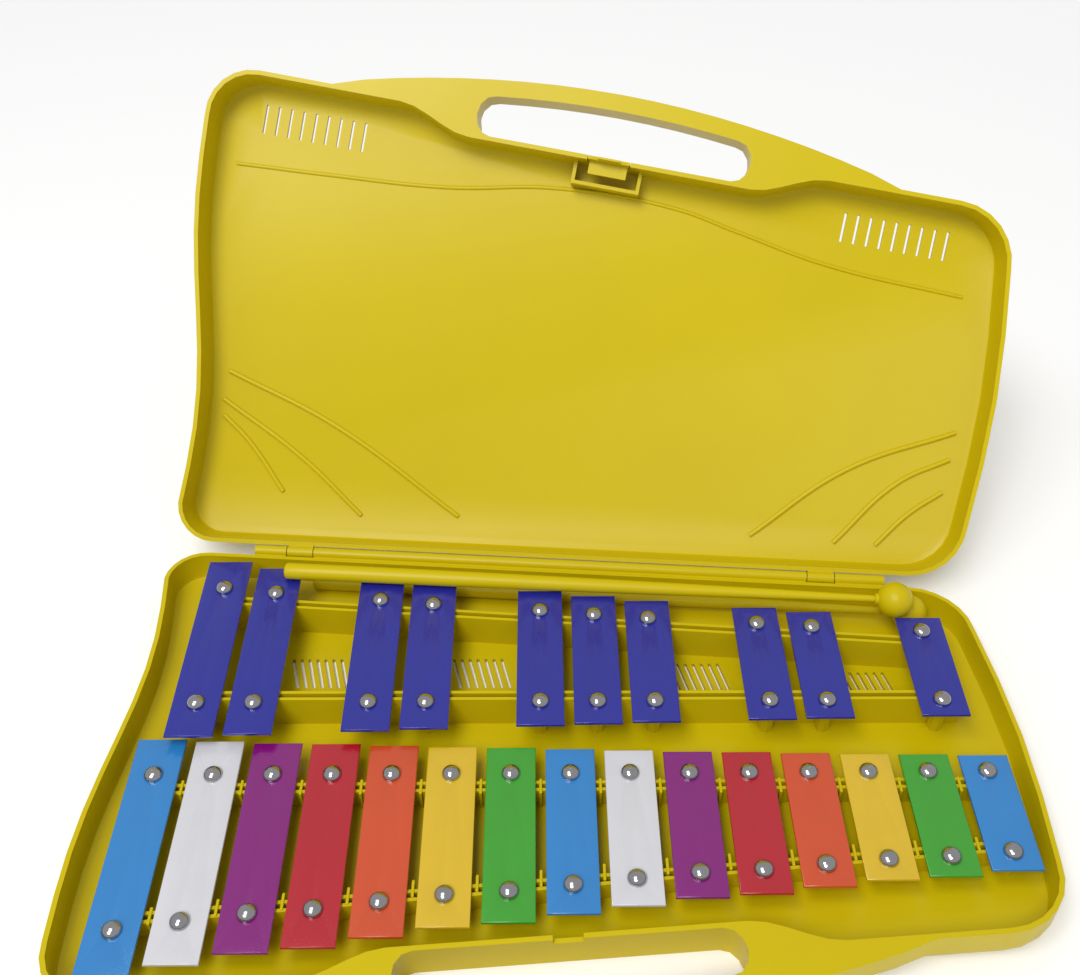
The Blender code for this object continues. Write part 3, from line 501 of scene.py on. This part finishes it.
def stick_profile(length, ball_radius):
    """A stick that thickens from its neck, inside the ball, to its rounded butt."""
    neck_top = -ball_radius * NECK_START
    profile = [(0.0, neck_top), (NECK_RADIUS, neck_top)]
    for step in range(1, STICK_STEPS):
        to_butt = 1 - step / STICK_STEPS
        radius = BUTT_RADIUS + (NECK_RADIUS - BUTT_RADIUS) * to_butt ** TAPER_POWER
        profile.append((radius, -length * (1 - to_butt)))
    for step in range(BUTT_STEPS + 1):
        angle = quarter_turn(step, BUTT_STEPS)
        profile.append((BUTT_RADIUS * math.cos(angle), -length + BUTT_ROUND * (1 - math.sin(angle))))
    return profile


def ball_profile(radius):
    """A ball with a fine mould seam round its middle and a short collar where the stick enters."""
    profile = []
    for step in range(BALL_STEPS - BALL_STEPS_UNDER_COLLAR):
        angle = math.pi * step / BALL_STEPS
        seam = SEAM_HEIGHT if step == BALL_STEPS // 2 else 0.0
        profile.append(((radius + seam) * math.sin(angle), radius * math.cos(angle)))
    profile += [(COLLAR_RADIUS, -radius * COLLAR_START), (COLLAR_RADIUS, -radius * COLLAR_END),
                (0.0, -radius * COLLAR_END)]
    return profile


def mallet(label):
    """A turned stick and its ball, on the line of the frame's own stick and ball."""
    low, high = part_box(label + "_head")
    centre = (low + high) / 2
    radius = max(high - low) / 2
    points = [vertex.co for vertex in frame["nodes"][label + "_stick"].data.vertices]
    length = max((point - centre).length for point in points)
    butt_points = [point for point in points if (point - centre).length > length - BUTT_SEARCH_DEPTH]
    butt = sum(butt_points, Vector()) / len(butt_points)
    turn = (centre - butt).normalized().to_track_quat('Z', 'Y').to_matrix().to_4x4()
    for suffix, node, profile, degrees in (("_rod", "_stick", stick_profile(length, radius), 50),
                                           ("_ball", "_head", ball_profile(radius), 40)):
        mesh = turned_mesh(label + suffix, profile, MALLET_SIDES)
        mesh.transform(Matrix.Translation(centre) @ turn)
        smooth(mesh, degrees)
        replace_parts(add_piece(label + suffix, mesh, YELLOW, label), label + node)


def floor():
    mesh = bpy.data.meshes.new("floor")
    bm = bmesh.new()
    bmesh.ops.create_grid(bm, x_segments=1, y_segments=1, size=FLOOR_REACH)
    bm.to_mesh(mesh)
    bm.free()
    obj = bpy.data.objects.new("floor", mesh)
    bpy.context.scene.collection.objects.link(obj)
    mat = bpy.data.materials.new("white_floor")
    mat.use_nodes = True
    shader = shader_of(mat)
    shader.inputs["Base Color"].default_value = (*FLOOR_COLOUR, 1.0)
    shader.inputs["Roughness"].default_value = 0.9
    shader.inputs["Specular IOR Level"].default_value = 0.1
    mesh.materials.append(mat)


def add_light(name, kind, energy, turn):
    light = bpy.data.lights.new(name, kind)
    light.energy = energy
    obj = bpy.data.objects.new(name, light)
    obj.rotation_euler = turn
    bpy.context.scene.collection.objects.link(obj)
    return obj


def lamps():
    """A soft key from the upper left front, and a weak softbox for highlights."""
    key = add_light("key", 'SUN', KEY_STRENGTH, KEY_TURN)
    key.data.angle = KEY_SOFTNESS
    softbox = add_light("softbox", 'AREA', SOFTBOX_WATTS, SOFTBOX_TURN)
    softbox.data.size = SOFTBOX_SIZE
    softbox.location = SOFTBOX_PLACE


def surround():
    """An even surround that is white to the camera and dimmer on the object."""
    world = bpy.data.worlds.new("surround")
    world.use_nodes = True
    bpy.context.scene.world = world
    nodes, link = world.node_tree.nodes, world.node_tree.links.new
    light = nodes["Background"]
    light.inputs["Color"].default_value = (1.0, 1.0, 1.0, 1.0)
    path = nodes.new('ShaderNodeLightPath')
    seen = nodes.new('ShaderNodeMath')
    seen.operation = 'MAXIMUM'
    link(path.outputs["Is Camera Ray"], seen.inputs[0])
    link(path.outputs["Is Transmission Ray"], seen.inputs[1])
    strength = nodes.new('ShaderNodeMapRange')
    strength.inputs["To Min"].default_value = SURROUND_ON_OBJECT
    strength.inputs["To Max"].default_value = SURROUND_SEEN
    link(seen.outputs[0], strength.inputs["Value"])
    link(strength.outputs["Result"], light.inputs["Strength"])


def camera():
    data = bpy.data.cameras.new("camera")
    data.lens = LENS_MM
    data.sensor_width = SENSOR_MM
    data.sensor_fit = 'HORIZONTAL'
    obj = bpy.data.objects.new("camera", data)
    turn = Matrix.Rotation(CAMERA_PITCH, 4, 'X') @ Matrix.Rotation(CAMERA_ROLL, 4, 'Z')
    obj.matrix_world = Matrix.Translation(CAMERA_PLACE) @ turn
    bpy.context.scene.collection.objects.link(obj)
    bpy.context.scene.camera = obj


camera()
shells()
bars_and_pins()
rail_fins()
lid_relief()
mallet("mallet_1")
mallet("mallet_2")
floor()
lamps()
surround()
bpy.context.scene.view_settings.view_transform = 'Standard'
